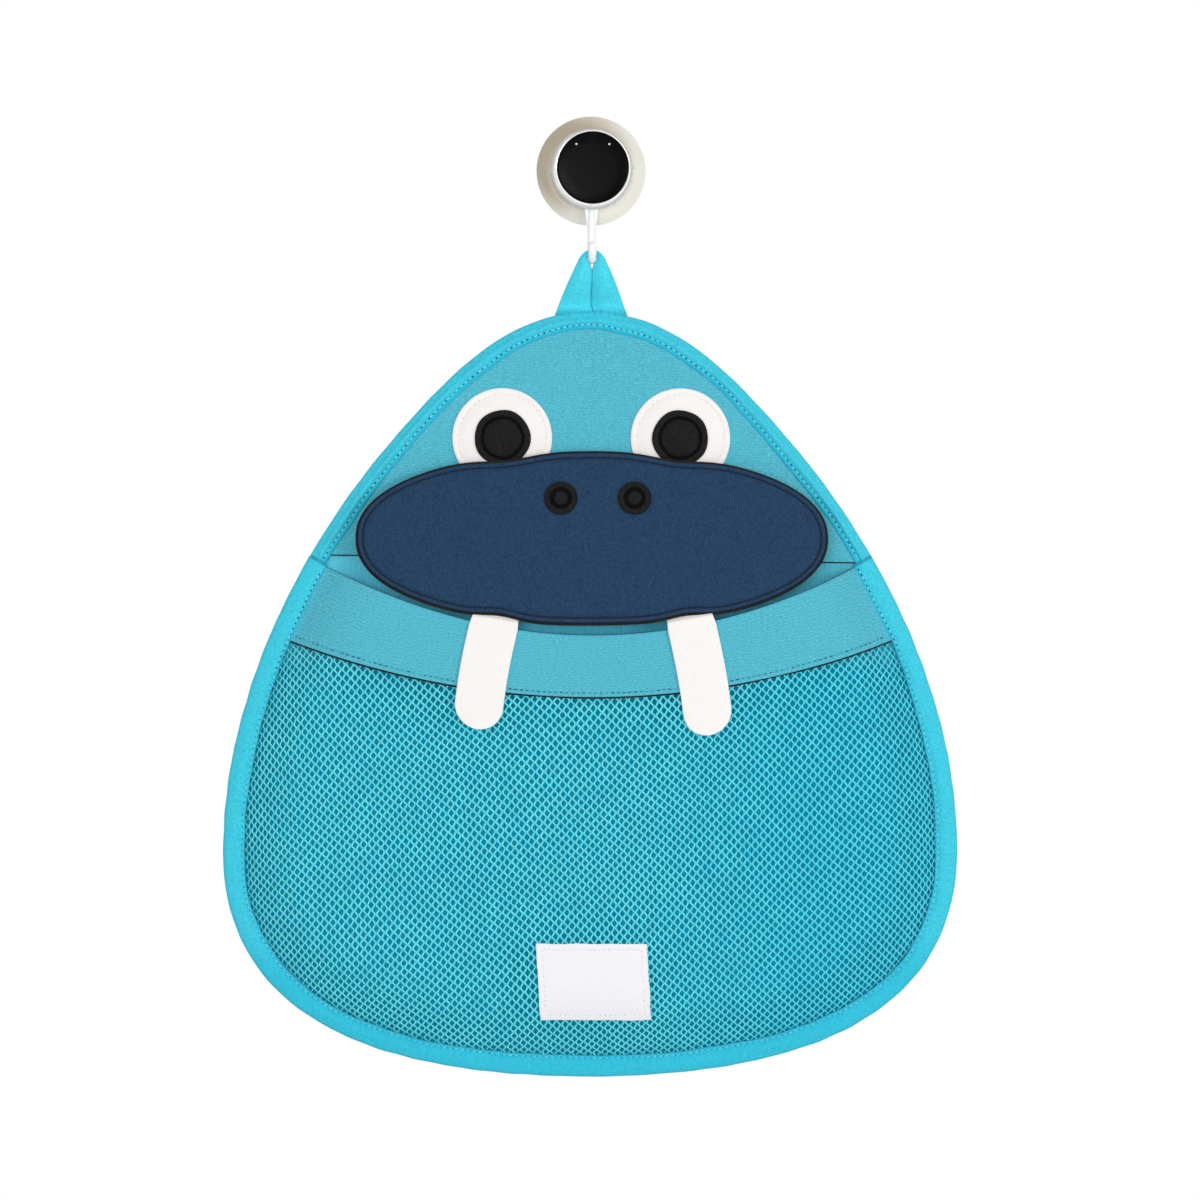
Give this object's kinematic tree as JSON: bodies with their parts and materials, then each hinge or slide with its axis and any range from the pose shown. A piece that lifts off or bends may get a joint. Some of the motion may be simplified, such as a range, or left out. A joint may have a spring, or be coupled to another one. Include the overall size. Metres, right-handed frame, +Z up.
{
  "type": "bath toy organizer",
  "caption": "Bound fabric bag with a net pocket and an animal face in applique, hung by a strap loop on a twist-lock suction hook, for keeping bath toys on a wall.",
  "frame": {"origin": "middle of the suction cup, on the wall", "axes": "+Z up, +Y into the wall, +X to the right as seen from the front"},
  "size_m": [0.4038, 0.0265, 0.5279],
  "materials": {
    "cup_clear": "soft clear vinyl with a warm smoky tint",
    "stud_steel": "plain",
    "hook_white": "moulded white plastic",
    "washer_nylon": "plain nylon",
    "nut_brass": "plain",
    "skirt_clear": "clear moulded plastic",
    "bezel_chrome": "bright",
    "cap_black": "satin black",
    "loop_strap": "soft folded strap",
    "back_knit": "ribbed knit on foam",
    "neoprene_turquoise": "neoprene with a fine knit face and black cut edges",
    "net_turquoise": "knitted mesh with small diamond openings",
    "binding_turquoise": "folded tape with a fine weave and one row of stitches",
    "applique_white": "white soft sheet",
    "applique_black": "black soft sheet",
    "muzzle_navy": "navy soft sheet with a sewn edge",
    "label_white": "bare satin label"
  },
  "bodies": {
    "hook": {"suction_cup": "cup_clear", "hook_base": "hook_white", "thrust_washer": "washer_nylon"},
    "stud": {"draw_stud": "stud_steel"},
    "knob": {"knob_skirt": "skirt_clear", "thread_nut": "nut_brass", "bezel_ring": "bezel_chrome", "knob_cap": "cap_black"},
    "loop": {"hanging_loop": "loop_strap"},
    "bag": {"back_panel": "back_knit", "face_panel": "neoprene_turquoise", "pocket_band": "neoprene_turquoise", "pocket_net": "net_turquoise", "top_binding": "binding_turquoise", "bottom_binding": "binding_turquoise", "eye_left": "applique_white", "eye_right": "applique_white", "pupil_left": "applique_black", "pupil_right": "applique_black", "label": "label_white"},
    "muzzle": {"muzzle_backing": "applique_black", "muzzle_front": "muzzle_navy", "nostril_left": "applique_black", "nostril_right": "applique_black"},
    "tusk_left": {"tusk_left": "applique_white"},
    "tusk_right": {"tusk_right": "applique_white"}
  },
  "joints": [
    {"name": "knob_turn", "type": "hinge", "parent": "hook", "child": "knob", "pos_m": [0, -0.0128, 0], "axis": [0, -1, 0], "range_deg": [0, 90]},
    {"name": "stud_draw", "type": "slide", "parent": "hook", "child": "stud", "axis": [0, 1, 0], "range_m": [0, 0.002], "deforming": ["suction_cup"]},
    {"name": "loop_sway", "type": "hinge", "parent": "hook", "child": "loop", "pos_m": [0, -0.014, -0.0495], "axis": [0, -1, 0], "range_deg": [-35, 35]},
    {"name": "bag_tilt", "type": "hinge", "parent": "loop", "child": "bag", "pos_m": [0, -0.00335, -0.08035], "axis": [-1, 0, 0], "range_deg": [0, 70]},
    {"name": "muzzle_lift", "type": "hinge", "parent": "bag", "child": "muzzle", "pos_m": [0, -0.0078, -0.1545], "axis": [-1, 0, 0], "range_deg": [0, 95]},
    {"name": "tusk_left_swing", "type": "hinge", "parent": "muzzle", "child": "tusk_left", "pos_m": [-0.0535, -0.025, -0.24759], "axis": [-0.9903, 0, 0.1392], "range_deg": [0, 80]},
    {"name": "tusk_right_swing", "type": "hinge", "parent": "muzzle", "child": "tusk_right", "pos_m": [0.0535, -0.025, -0.24759], "axis": [-0.9903, 0, -0.1392], "range_deg": [0, 80]}
  ],
  "couplings": [
    {"joint": "stud_draw", "follows": "knob_turn", "m_per_rad": 0.0012732}
  ]
}
